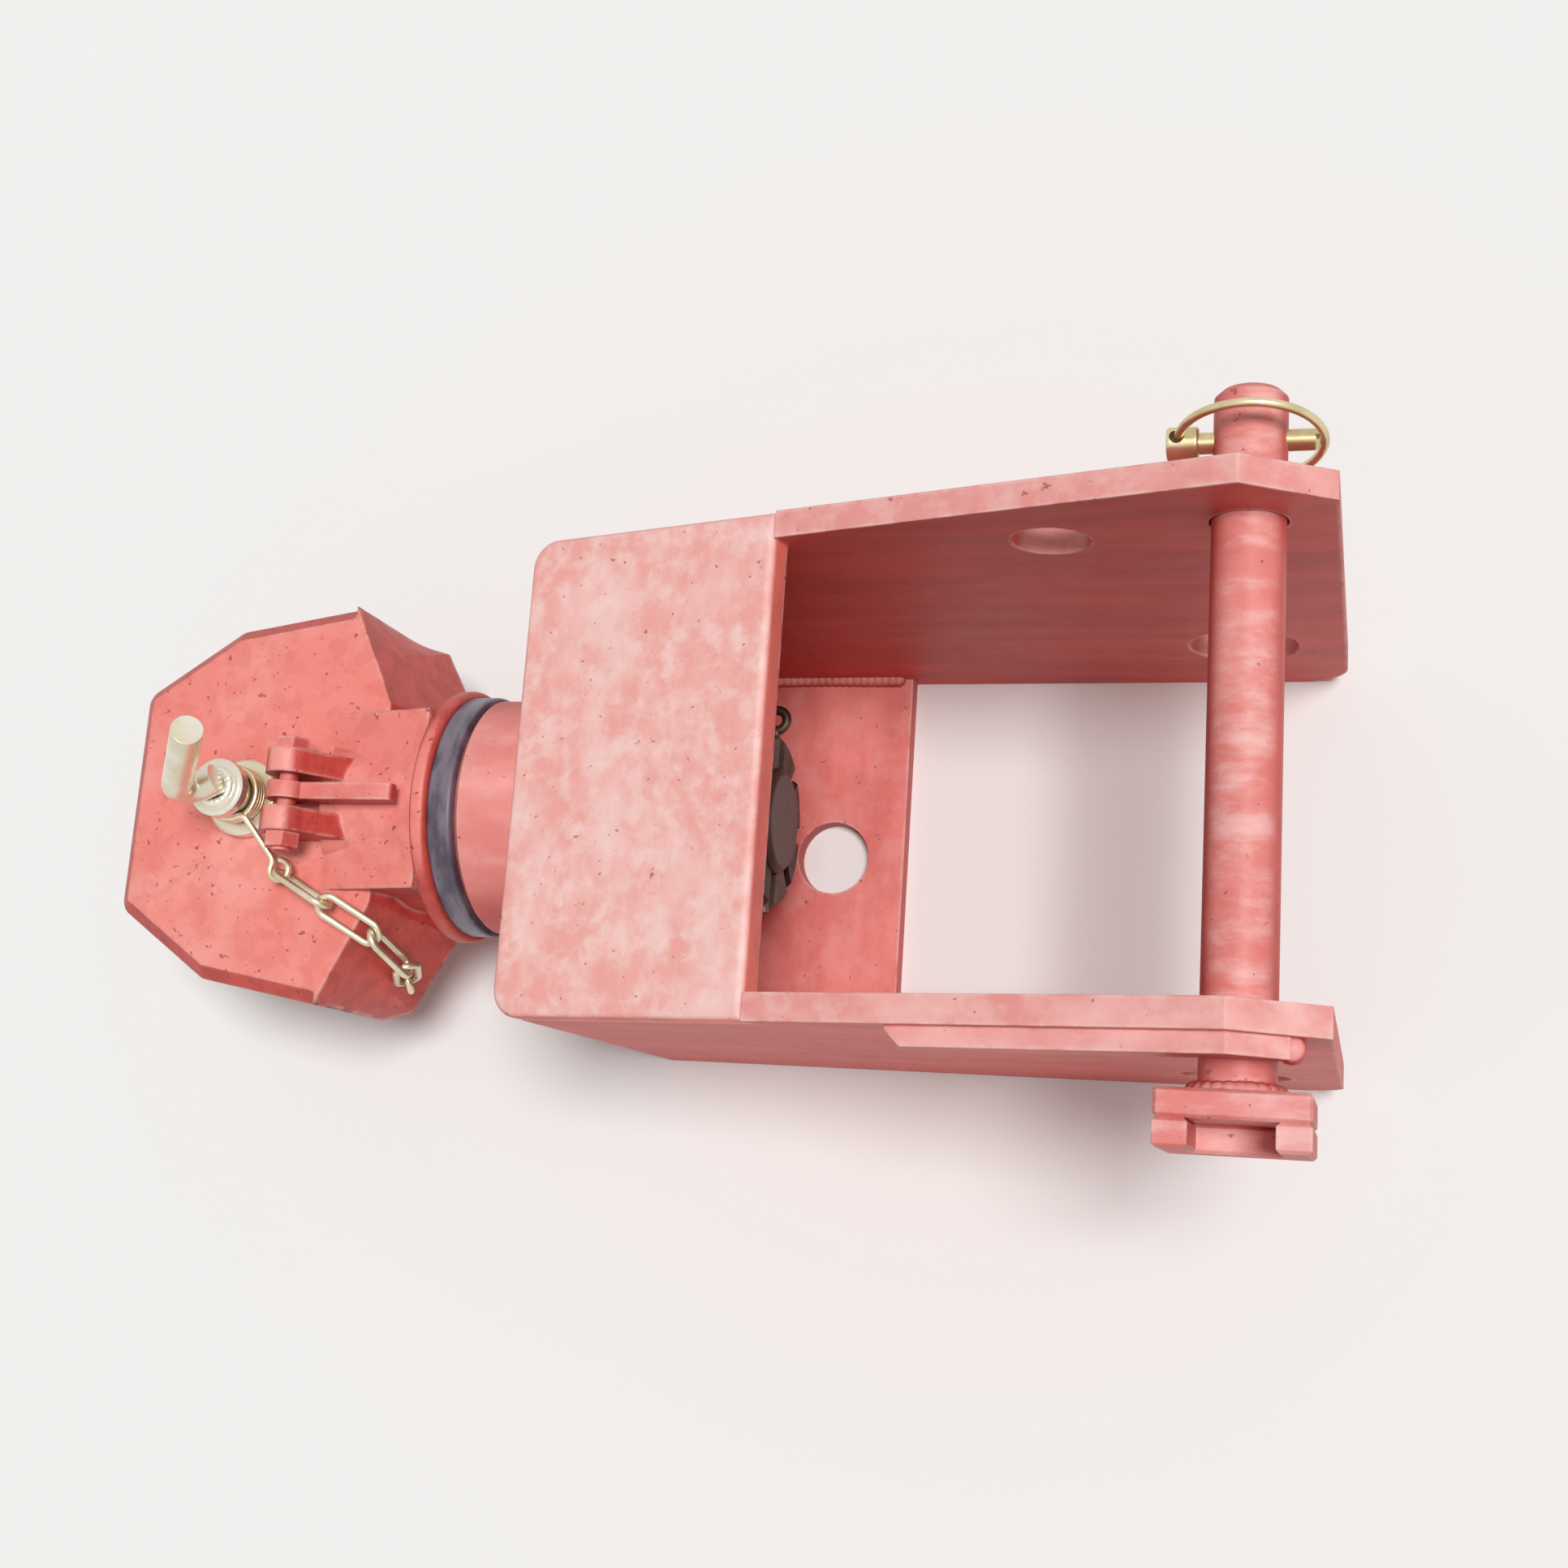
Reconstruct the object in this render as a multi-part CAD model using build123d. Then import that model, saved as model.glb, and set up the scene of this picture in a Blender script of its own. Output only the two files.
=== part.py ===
from build123d import *
import os
from math import cos, radians, sin, sqrt, tan

# Swivelling tractor towing hitch: a welded clevis frame, and a cast jaw that turns in its boss.
# X runs along the hitch, with the jaw at -X and the tractor end at +X. Y runs across, Z is up.
# The origin is the centre of the drawbar hole, on the underside of the frame.

# Side arms of the frame
inner_width = 210.0
arm_thickness = 13.0
arm_front_x = -92.0
arm_rear_x = 282.0
arm_height_at_origin = 254.5
arm_top_slope = 13.5
arm_apex_x = 242.0
arm_rear_drop = 25.0
arm_foot_radius = 26.0
cross_pin_x = 244.0
cross_pin_z = 263.0
spare_hole_diameter = 36.5
spare_hole_x = 155.6
spare_hole_z = 245.5
pivot_hole_diameter = 56.0
pivot_hole_x = 230.5
pivot_hole_z = 71.5

# Plates that close the front of the frame
top_plate_thickness = 13.0
top_plate_overhang = 13.0
top_plate_rear_x = 30.0
top_plate_corner = 14.0
top_plate_edge = 4.0
bottom_plate_thickness = 12.0
bottom_plate_rear_x = 41.0
drawbar_hole_diameter = 41.0
front_plate_thickness = 18.0

# Flat bar along the top of the right arm
side_bar_start_x = 97.0
side_bar_end_share = 0.6
side_bar_height = 20.0
side_bar_thickness = 9.0
side_bar_drop = 6.0

# Swivel: boss in the frame, shank on the jaw
swivel_z = 118.0
shank_diameter = 55.0
bush_wall = 5.0
bush_length = 50.0
boss_diameter = 126.0
boss_length = 66.7
spigot_diameter = 92.0
spigot_length = 58.0
thrust_ring_diameter = 130.0
thrust_ring_thickness = 13.0
flange_diameter = 137.0
flange_thickness = 9.0
nut_washer_diameter = 84.0
nut_washer_thickness = 8.0
swivel_nut_diameter = 92.0
swivel_nut_thickness = 23.0
swivel_nut_slots = 8
nut_slot_width = 9.0
nut_slot_depth = 8.0
split_pin_diameter = 5.0
split_pin_eye_ratio = 1.6
shank_stickout = 4.0

# Cast jaw
jaw_length = 184.0
jaw_height = 80.0
mouth_height = 44.0
jaw_front_width = 120.0
jaw_shoulder_width = 194.0
jaw_shoulder_setback = 55.0
jaw_width = 218.0
jaw_widest_setback = 127.0
heel_top_width = 108.0
heel_bottom_width = 124.0
heel_flare_setback = 145.0
heel_flare_width = 208.0
heel_top_setback = 153.3
heel_bottom_setback = 168.7
lip_bevel = 7.0
mouth_bevel = 5.0
jaw_corner_round = 3.0
throat_radius = 48.0
mouth_depth = 103.0
neck_setback = 123.0
neck_width = 96.0
neck_rise = 14.0
neck_start_diameter = 100.0
neck_end_diameter = 106.0

# Hitch pin, with its handle and the wire coil that holds the chain
hitch_pin_setback = 75.0
hitch_pin_diameter = 29.0
hitch_pin_hole_diameter = 31.0
hitch_pin_overshoot = 10.0
hitch_pin_tip_diameter = 15.0
pin_collar_diameter = 42.0
pin_collar_thickness = 9.0
pin_neck_diameter = 23.0
pin_neck_height = 17.0
pin_head_diameter = 31.0
pin_head_thickness = 9.0
handle_diameter = 16.0
handle_reach = 20.0
handle_rise = 62.0
handle_lean = 38.0
handle_sweep = 27.0
handle_heading = 205.0
handle_root_share = 0.3
handle_bend_radius = 9.6
coil_wire = 3.6
coil_turns = 3
coil_squeeze = 0.15
coil_tail_length = 31.0
coil_tail_heading = -53.0
coil_tail_fall = 5.0
coil_eye_radius = 5.4

# Keeper lever between its two lugs
lever_bolt_diameter = 10.0
bolt_head_ratio = 0.65
bolt_nut_ratio = 0.8
hexagon_ratio = 1.7
lever_bolt_offset = 36.0
lever_bolt_height = 23.0
lug_gap = 18.0
lug_thickness = 13.0
lug_radius = 12.5
lug_tail = 32.0
lug_root = 8.0
lug_shoulder_angle = 30.0
lever_thickness = 9.0
lever_eye_radius = 11.0
lever_flange_gap = 11.0
lever_depth = 9.0
lever_end_round = 3.0

# Safety chain, from the coil's eye to a staple on the heel of the jaw
chain_wire = 4.0
chain_inner_length = 32.0
chain_outer_width = 16.0
chain_headings = (-29, -31, -61, 196)
chain_pitches = (2, -23, -61, -65)
chain_rolls = (99, 21, 97, 81)

# Cross pin with its head plates, and the linchpin that holds it
cross_pin_diameter = 32.0
cross_pin_head_gap = 21.5
cross_pin_stub = 46.0
head_plate_size = 62.0
head_plate_thickness = 12.0
head_notch_width = 34.0
head_notch_depth = 42.0
linchpin_setback = 22.0
linchpin_diameter = 9.5
linchpin_reach = 29.0
linchpin_head_diameter = 15.0
linchpin_head_length = 14.0
linchpin_tilt = 10.0
linchpin_ring_wire = 4.0

# Clearances
running_clearance = 0.05
face_clearance = 0.3
loose_clearance = 1.0
chain_clearance = 1.0
edge_break = 1.5

# Places that follow from the sizes above
arm_inner_y = inner_width / 2
arm_outer_y = arm_inner_y + arm_thickness
slope = tan(radians(arm_top_slope))
side_bar_end_x = arm_apex_x + side_bar_end_share * (arm_rear_x - arm_apex_x)
plate_run = top_plate_thickness * sin(radians(arm_top_slope))
plate_drop = top_plate_thickness * cos(radians(arm_top_slope))
boss_front_x = arm_front_x - boss_length
ring_front_x = boss_front_x - face_clearance - thrust_ring_thickness
flange_front_x = ring_front_x - flange_thickness
spigot_rear_x = arm_front_x + spigot_length
washer_front_x = spigot_rear_x + face_clearance
nut_front_x = washer_front_x + nut_washer_thickness
nut_rear_x = nut_front_x + swivel_nut_thickness
shank_end_x = nut_rear_x + shank_stickout
split_pin_x = nut_rear_x - nut_slot_depth / 2
jaw_front_x = flange_front_x - jaw_length
jaw_top_z = swivel_z + jaw_height / 2
jaw_bottom_z = swivel_z - jaw_height / 2
mouth_top_z = swivel_z + mouth_height / 2
mouth_bottom_z = swivel_z - mouth_height / 2
hitch_pin_x = jaw_front_x + hitch_pin_setback
collar_bottom_z = jaw_top_z + face_clearance
neck_bottom_z = collar_bottom_z + pin_collar_thickness
head_bottom_z = neck_bottom_z + pin_neck_height
head_top_z = head_bottom_z + pin_head_thickness
lever_bolt_x = hitch_pin_x + lever_bolt_offset
lever_bolt_z = jaw_top_z + lever_bolt_height
chain_pitch = chain_inner_length - chain_clearance
head_plate_y = -(arm_outer_y + cross_pin_head_gap)
cross_pin_end_y = arm_outer_y + cross_pin_stub
linchpin_y = cross_pin_end_y - linchpin_setback
linchpin_ring_radius = linchpin_reach + linchpin_ring_wire / 2 + face_clearance


def arm_top(x):
    """Height of the sloping top edge of the arms."""
    return arm_height_at_origin + slope * x


arm_apex_z = arm_top(arm_apex_x)
arm_rear_z = arm_apex_z - arm_rear_drop


def rod_x(radius, x_from, x_to, y=0.0, z=0.0):
    """Round bar along X."""
    return Pos((x_from + x_to) / 2, y, z) * Rot(0, 90, 0) * Cylinder(radius, x_to - x_from)


def rod_y(radius, y_from, y_to, x=0.0, z=0.0):
    """Round bar along Y."""
    return Pos(x, (y_from + y_to) / 2, z) * Rot(90, 0, 0) * Cylinder(radius, y_to - y_from)


def rod_z(radius, z_from, z_to, x=0.0, y=0.0):
    """Round bar along Z."""
    return Pos(x, y, (z_from + z_to) / 2) * Cylinder(radius, z_to - z_from)


def side_slab(points, y_from, y_to):
    """Plate cut to an outline in the XZ plane, from y_from to y_to."""
    face = Plane.XZ * make_face(Polyline(*points, close=True))
    return Pos(0, y_to, 0) * extrude(face, y_to - y_from)


def flat_slab(points, z_from, z_to):
    """Plate cut to an outline in the XY plane, from z_from to z_to."""
    return Pos(0, 0, z_from) * extrude(make_face(Polyline(*points, close=True)), z_to - z_from)


def mirrored(points):
    """Closed outline from its half at positive Y, listed from front to rear."""
    return points + [(x, -y) for x, y in reversed(points)]


def only(shape):
    """The single solid that a chain of cuts and unions leaves."""
    return shape.solid()


def arm(y_from, y_to):
    """Side arm: sloping top with a notch for the top plate, rounded foot, three cross holes."""
    outline = [
        (arm_front_x, 0),
        (arm_rear_x, 0),
        (arm_rear_x, arm_rear_z),
        (arm_apex_x, arm_apex_z),
        (top_plate_rear_x, arm_top(top_plate_rear_x)),
        (top_plate_rear_x + plate_run, arm_top(top_plate_rear_x) - plate_drop),
        (arm_front_x, arm_top(top_plate_rear_x) - plate_drop
         - slope * (top_plate_rear_x + plate_run - arm_front_x)),
    ]
    body = side_slab(outline, y_from, y_to)
    cross_edges = body.edges().filter_by(Axis.Y)
    foot = cross_edges.sort_by(Axis.Z)[:2].sort_by(Axis.X)[-1]
    body = fillet(foot, arm_foot_radius)
    holes = (
        (cross_pin_x, cross_pin_z, cross_pin_diameter / 2 + loose_clearance),
        (spare_hole_x, spare_hole_z, spare_hole_diameter / 2),
        (pivot_hole_x, pivot_hole_z, pivot_hole_diameter / 2),
    )
    for x, z, radius in holes:
        body -= rod_y(radius, y_from - arm_thickness, y_to + arm_thickness, x, z)
    return only(body)


def top_plate():
    """Plate let into the tops of both arms, with round front corners and softened edges."""
    front = arm_front_x - top_plate_overhang
    length = (top_plate_rear_x - front) / cos(radians(arm_top_slope))
    middle = Pos(-length / 2, 0, -top_plate_thickness / 2)
    blank = middle * Box(length, 2 * arm_outer_y, top_plate_thickness)
    front_corners = blank.edges().filter_by(Axis.Z).sort_by(Axis.X)[:2]
    blank = fillet(front_corners, top_plate_corner)
    blank = fillet(blank.edges().group_by(Axis.Z)[-1], top_plate_edge)
    place = Pos(top_plate_rear_x, 0, arm_top(top_plate_rear_x)) * Rot(0, -arm_top_slope, 0)
    return only(place * blank)


def under_top_plate(x):
    """Height of the underside of the top plate."""
    return arm_top(x) - top_plate_thickness / cos(radians(arm_top_slope))


def front_plate():
    """Upright plate between the arms, bored for the boss."""
    rear = arm_front_x + front_plate_thickness
    outline = [
        (arm_front_x, 0),
        (rear, 0),
        (rear, under_top_plate(rear)),
        (arm_front_x, under_top_plate(arm_front_x)),
    ]
    body = side_slab(outline, -arm_inner_y, arm_inner_y)
    bore = rod_x(spigot_diameter / 2, boss_front_x, spigot_rear_x, z=swivel_z)
    return only(body - bore)


def bottom_plate():
    """Floor of the frame, with the drawbar hole."""
    front = arm_front_x + front_plate_thickness
    outline = [(front, -arm_inner_y), (bottom_plate_rear_x, -arm_inner_y),
               (bottom_plate_rear_x, arm_inner_y), (front, arm_inner_y)]
    body = flat_slab(outline, 0, bottom_plate_thickness)
    body -= rod_z(drawbar_hole_diameter / 2, -bottom_plate_thickness, 2 * bottom_plate_thickness)
    return only(body)


def side_bar():
    """Flat bar welded below the top edge of the right arm, mitred at its front end."""
    top = side_bar_drop
    bottom = side_bar_drop + side_bar_height
    hole_top = cross_pin_z + cross_pin_diameter / 2 + 2 * loose_clearance
    fall = arm_rear_drop / (arm_rear_x - arm_apex_x)
    end_top = arm_apex_z - fall * (side_bar_end_x - arm_apex_x) - top
    outline = [
        (side_bar_start_x, arm_top(side_bar_start_x) - bottom),
        (arm_apex_x - top, arm_top(arm_apex_x - top) - bottom),
        (side_bar_end_x, hole_top),
        (side_bar_end_x, end_top),
        (arm_apex_x, arm_apex_z - top),
        (side_bar_start_x, arm_top(side_bar_start_x) - top),
    ]
    bar = side_slab(outline, -arm_outer_y - side_bar_thickness, -arm_outer_y)
    front_edge = bar.edges().filter_by(Axis.Z).group_by(Axis.X)[0].sort_by(Axis.Y)[0]
    return only(chamfer(front_edge, side_bar_thickness - edge_break))


def swivel_boss():
    """Thick tube that carries the swivel: a wide front and a spigot through the front plate."""
    bore = shank_diameter / 2 + running_clearance + bush_wall
    body = rod_x(boss_diameter / 2, boss_front_x, arm_front_x, z=swivel_z)
    body += rod_x(spigot_diameter / 2, arm_front_x, spigot_rear_x, z=swivel_z)
    body -= rod_x(bore, boss_front_x - boss_length, spigot_rear_x + spigot_length, z=swivel_z)
    rims = body.edges().filter_by(GeomType.CIRCLE).group_by(Axis.X)
    return only(chamfer(rims[0].sort_by(SortBy.RADIUS)[-1], 2 * edge_break))


def bush(x_from):
    """Plain bearing sleeve pressed into the boss."""
    inside = shank_diameter / 2 + running_clearance
    body = rod_x(inside + bush_wall, x_from, x_from + bush_length, z=swivel_z)
    return only(body - rod_x(inside, x_from - bush_length, x_from + 2 * bush_length, z=swivel_z))


def thrust_ring():
    """Plastic ring between the jaw's flange and the boss."""
    rear = ring_front_x + thrust_ring_thickness
    body = rod_x(thrust_ring_diameter / 2, ring_front_x, rear, z=swivel_z)
    body -= rod_x(shank_diameter / 2, flange_front_x, boss_front_x + boss_length, z=swivel_z)
    outer = body.edges().filter_by(GeomType.CIRCLE).sort_by(SortBy.RADIUS)[-2:]
    return only(fillet(outer, edge_break))


def nut_washer():
    """Hardened washer behind the boss."""
    body = rod_x(nut_washer_diameter / 2, washer_front_x, nut_front_x, z=swivel_z)
    return only(body - rod_x(shank_diameter / 2, spigot_rear_x - spigot_length, nut_rear_x, z=swivel_z))


def swivel_nut():
    """Round slotted nut on the end of the shank."""
    body = rod_x(swivel_nut_diameter / 2, nut_front_x, nut_rear_x, z=swivel_z)
    rims = body.edges().filter_by(GeomType.CIRCLE)
    body = chamfer(rims, 2 * edge_break)
    body -= rod_x(shank_diameter / 2, spigot_rear_x, shank_end_x + shank_stickout, z=swivel_z)
    slot = Box(2 * nut_slot_depth, nut_slot_width, swivel_nut_diameter)
    for turn in range(swivel_nut_slots // 2):
        body -= Pos(nut_rear_x, 0, swivel_z) * Rot(turn * 360 / swivel_nut_slots, 0, 0) * slot
    return only(body)


def split_pin():
    """Split pin through a pair of slots and the shank, with its eye at one end."""
    radius = split_pin_diameter / 2
    half = swivel_nut_diameter / 2 + split_pin_diameter / 2
    eye_radius = split_pin_eye_ratio * split_pin_diameter
    body = rod_y(radius, -half, half, split_pin_x, swivel_z)
    eye = Pos(split_pin_x, half + eye_radius - radius, swivel_z) * Torus(eye_radius - radius, radius)
    return only(body + eye)


def jaw_outline():
    """Half outline of the jaw plates from the front to their widest point."""
    return [
        (jaw_front_x, jaw_front_width / 2),
        (jaw_front_x + jaw_shoulder_setback, jaw_shoulder_width / 2),
        (jaw_front_x + jaw_widest_setback, jaw_width / 2),
    ]


def jaw_plate(z_from, z_to, outer_side):
    """One plate of the jaw, bevelled round its lip outside and in the mouth."""
    body = flat_slab(mirrored(jaw_outline()), z_from, z_to)
    corners = body.edges().filter_by(Axis.Z).sort_by(Axis.X)[:4]
    body = fillet(corners, lip_bevel + jaw_corner_round)
    levels = body.edges().group_by(Axis.Z)
    outside = levels[-1] if outer_side > 0 else levels[0]
    rear = jaw_front_x + jaw_widest_setback - edge_break
    body = chamfer([e for e in outside if e.center().X < rear], lip_bevel)
    levels = body.edges().group_by(Axis.Z)
    inside = levels[0] if outer_side > 0 else levels[-1]
    return chamfer([e for e in inside if e.center().X < rear], mouth_bevel)


def jaw_heel():
    """Solid rear of the jaw: its sides fall back and outward from the top plate to the bottom plate."""
    widest_x = jaw_front_x + jaw_widest_setback
    flare_x = jaw_front_x + heel_flare_setback
    top_rear_x = jaw_front_x + heel_top_setback
    bottom_rear_x = jaw_front_x + heel_bottom_setback
    middle = ((widest_x + top_rear_x) / 2, (jaw_width + heel_top_width) / 4)
    top = [(widest_x, jaw_width / 2), middle, (top_rear_x, heel_top_width / 2)]
    bottom = [
        (widest_x, jaw_width / 2),
        (flare_x, heel_flare_width / 2),
        (bottom_rear_x, heel_bottom_width / 2),
    ]
    low = Pos(0, 0, jaw_bottom_z) * make_face(Polyline(*mirrored(bottom), close=True))
    high = Pos(0, 0, jaw_top_z) * make_face(Polyline(*mirrored(top), close=True))
    return loft([low, high], ruled=True)


def jaw_throat():
    """Wall at the back of the mouth, hollowed round the hitch pin."""
    wall_front_x = jaw_front_x + mouth_depth
    wall_rear_x = jaw_front_x + jaw_widest_setback
    growth = (jaw_width - jaw_shoulder_width) / (jaw_widest_setback - jaw_shoulder_setback)
    front_width = jaw_width - growth * (wall_rear_x - wall_front_x)
    inset = mouth_bevel + lip_bevel
    half = [(wall_front_x, front_width / 2 - inset), (wall_rear_x, jaw_width / 2 - inset)]
    wall = flat_slab(mirrored(half), mouth_bottom_z, mouth_top_z)
    return wall - rod_z(throat_radius, mouth_bottom_z - jaw_height, mouth_top_z + jaw_height, hitch_pin_x)


def jaw_neck():
    """Neck from the heel to the flange: a cone with a block along its top and underside."""
    start_x = jaw_front_x + neck_setback
    outline = [
        (start_x, jaw_bottom_z),
        (flange_front_x, jaw_bottom_z - neck_rise),
        (flange_front_x, jaw_top_z + neck_rise),
        (start_x, jaw_top_z),
    ]
    block = side_slab(outline, -neck_width / 2, neck_width / 2)
    cone = Cone(neck_start_diameter / 2, neck_end_diameter / 2, flange_front_x - start_x)
    return block + Pos((start_x + flange_front_x) / 2, 0, swivel_z) * Rot(0, 90, 0) * cone


def lever_lug(y_from):
    """Lug cast on the jaw's top plate, round over the bolt and sloping down at the rear."""
    eye = rod_y(lug_radius, y_from, y_from + lug_thickness, lever_bolt_x, lever_bolt_z)
    shoulder = radians(lug_shoulder_angle)
    outline = [
        (lever_bolt_x - lug_radius, jaw_top_z - lug_root),
        (lever_bolt_x + lug_tail, jaw_top_z - lug_root),
        (lever_bolt_x + lug_tail, jaw_top_z),
        (lever_bolt_x + lug_radius * sin(shoulder), lever_bolt_z + lug_radius * cos(shoulder)),
        (lever_bolt_x, lever_bolt_z),
        (lever_bolt_x - lug_radius, lever_bolt_z),
    ]
    return eye + side_slab(outline, y_from, y_from + lug_thickness)


def jaw():
    """Jaw casting: two plates with an open mouth, heel, neck, flange and the swivel shank."""
    body = jaw_plate(mouth_top_z, jaw_top_z, 1) + jaw_plate(jaw_bottom_z, mouth_bottom_z, -1)
    body += jaw_heel()
    body += jaw_throat()
    body += jaw_neck()
    body += lever_lug(lug_gap / 2)
    body += lever_lug(-lug_gap / 2 - lug_thickness)
    flange = rod_x(flange_diameter / 2, flange_front_x, ring_front_x, z=swivel_z)
    body += fillet(flange.edges().filter_by(GeomType.CIRCLE), 2 * edge_break)
    shank = rod_x(shank_diameter / 2, flange_front_x, shank_end_x, z=swivel_z)
    body += chamfer(shank.edges().filter_by(GeomType.CIRCLE).sort_by(Axis.X)[-1], 2 * edge_break)
    hole = hitch_pin_hole_diameter / 2
    body -= rod_z(hole, jaw_bottom_z - jaw_height, jaw_top_z + jaw_height, hitch_pin_x)
    half = lug_gap / 2 + lug_thickness
    body -= rod_y(lever_bolt_diameter / 2, -2 * half, 2 * half, lever_bolt_x, lever_bolt_z)
    body -= rod_y(split_pin_diameter / 2, -shank_diameter, shank_diameter, split_pin_x, swivel_z)
    return only(body - chain_staple())


def hex_bar(across_flats, length):
    """Hexagonal bar along Z, centred."""
    return extrude(RegularPolygon(across_flats / sqrt(3), 6), length / 2, both=True)


def lever_bolt():
    """Hexagon bolt through the lugs and the lever."""
    half = lug_gap / 2 + lug_thickness
    head_height = bolt_head_ratio * lever_bolt_diameter
    nut_height = bolt_nut_ratio * lever_bolt_diameter
    shaft_end = -half - nut_height - edge_break
    shaft = rod_y(lever_bolt_diameter / 2, shaft_end, half, lever_bolt_x, lever_bolt_z)
    head = Pos(lever_bolt_x, half + head_height / 2, lever_bolt_z) * Rot(90, 0, 0)
    return only(shaft + head * hex_bar(hexagon_ratio * lever_bolt_diameter, head_height))


def lever_nut():
    """Nut of the lever bolt."""
    half = lug_gap / 2 + lug_thickness
    nut_height = bolt_nut_ratio * lever_bolt_diameter
    place = Pos(lever_bolt_x, -half - nut_height / 2, lever_bolt_z) * Rot(90, 0, 0)
    nut = place * hex_bar(hexagon_ratio * lever_bolt_diameter, nut_height)
    return only(nut - rod_y(lever_bolt_diameter / 2, -3 * half, 0, lever_bolt_x, lever_bolt_z))


def keeper_lever():
    """Flat keeper lever: a round cam nose on the bolt and a straight tail over the neck."""
    half = lever_thickness / 2
    eye = rod_y(lever_eye_radius, -half, half, lever_bolt_x, lever_bolt_z)
    tail_top = lever_bolt_z + lever_depth / 2
    tail_end = flange_front_x - lever_flange_gap
    outline = [
        (lever_bolt_x, tail_top - lever_depth),
        (tail_end, tail_top - lever_depth),
        (tail_end, tail_top),
        (lever_bolt_x, tail_top),
    ]
    tail = side_slab(outline, -half, half)
    tail = fillet(tail.edges().filter_by(Axis.Y).sort_by(Axis.X)[-2:], lever_end_round)
    bore = lever_bolt_diameter / 2 + running_clearance
    return only(eye + tail - rod_y(bore, -lug_gap, lug_gap, lever_bolt_x, lever_bolt_z))


def hitch_pin():
    """Turned pin: shank through both plates, collar, grooved neck and round head."""
    radius = hitch_pin_diameter / 2
    tip_z = jaw_bottom_z - hitch_pin_overshoot
    outline = [
        (0, tip_z),
        (hitch_pin_tip_diameter / 2, tip_z),
        (radius, tip_z + hitch_pin_overshoot),
        (radius, collar_bottom_z),
        (pin_collar_diameter / 2 - edge_break, collar_bottom_z),
        (pin_collar_diameter / 2, collar_bottom_z + edge_break),
        (pin_collar_diameter / 2, neck_bottom_z - edge_break),
        (pin_collar_diameter / 2 - edge_break, neck_bottom_z),
        (pin_neck_diameter / 2, neck_bottom_z),
        (pin_neck_diameter / 2, head_bottom_z),
        (pin_head_diameter / 2, head_bottom_z + edge_break),
        (pin_head_diameter / 2, head_top_z - edge_break),
        (pin_head_diameter / 2 - edge_break, head_top_z),
        (0, head_top_z),
    ]
    profile = Plane.XZ * make_face(Polyline(*outline, close=True))
    return only(Pos(hitch_pin_x, 0, 0) * revolve(profile, Axis.Z))


def pin_handle():
    """Bent round bar welded to the pin's head: out to one side, then up at a lean."""
    base_z = head_top_z + handle_diameter / 2
    out = radians(handle_heading)
    bend = (handle_reach * cos(out), handle_reach * sin(out))
    spread = handle_rise * tan(radians(handle_lean))
    aim = radians(handle_sweep)
    tip = (bend[0] + spread * cos(aim), bend[1] + spread * sin(aim), base_z + handle_rise)
    root = (-handle_root_share * bend[0], -handle_root_share * bend[1], base_z)
    path = FilletPolyline(root, (bend[0], bend[1], base_z), tip, radius=handle_bend_radius)
    section = Plane(path @ 0, z_dir=path % 0) * Circle(handle_diameter / 2)
    return only(Pos(hitch_pin_x, 0, 0) * sweep(section, path))


def coil_start():
    """Point where the wire coil's tail leaves the coil."""
    mean = pin_neck_diameter / 2 + loose_clearance / 2 + coil_wire / 2
    side = radians(coil_tail_heading)
    return Vector(hitch_pin_x + mean * cos(side), mean * sin(side), coil_z())


def coil_z():
    """Height of the coil's middle turn."""
    return neck_bottom_z + loose_clearance + coil_wire * coil_turns / 2


def coil_eye_centre():
    """Centre of the eye at the end of the coil's tail."""
    heading = radians(coil_tail_heading)
    reach = coil_tail_length + coil_eye_radius
    flat = cos(radians(coil_tail_fall))
    drop = sin(radians(coil_tail_fall))
    way = Vector(flat * cos(heading), flat * sin(heading), -drop)
    return coil_start() + way * reach


def chain_coil():
    """Wire wound round the pin's neck, with a straight tail that ends in an eye for the chain."""
    mean = pin_neck_diameter / 2 + loose_clearance / 2 + coil_wire / 2
    lead = coil_wire - coil_squeeze
    body = None
    for turn in range(coil_turns):
        height = coil_z() + (turn - (coil_turns - 1) / 2) * lead
        ring = Pos(hitch_pin_x, 0, height) * Torus(mean, coil_wire / 2)
        body = ring if body is None else body + ring
    start = coil_start()
    eye = coil_eye_centre()
    along = (eye - start).normalized()
    tail = Plane(start, z_dir=along) * Circle(coil_wire / 2)
    body += extrude(tail, coil_tail_length)
    return only(body + Pos(eye.X, eye.Y, eye.Z) * Torus(coil_eye_radius, coil_wire / 2))


def chain_link():
    """One long link in the XY plane: two straight legs joined by two half rings."""
    radius = chain_wire / 2
    bend = (chain_outer_width - chain_wire) / 2
    straight = chain_inner_length + chain_wire - 2 * bend
    track = SlotOverall(straight + 2 * bend, 2 * bend).wire()
    start = Plane(track @ 0, z_dir=track % 0)
    return only(sweep(start * Circle(radius), track))


def chain_points():
    """Pitch points of the chain, link by link, from the coil's eye."""
    overlap = chain_wire / 2 + coil_wire / 2 + chain_clearance
    heading = radians(coil_tail_heading)
    out = Vector(cos(heading), sin(heading), 0)
    points = [coil_eye_centre() + out * (coil_eye_radius - overlap / 2)]
    for heading, pitch in zip(chain_headings, chain_pitches):
        flat = cos(radians(pitch))
        turn = radians(heading)
        step = Vector(flat * cos(turn), flat * sin(turn), sin(radians(pitch)))
        points.append(points[-1] + step * chain_pitch)
    return points


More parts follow.
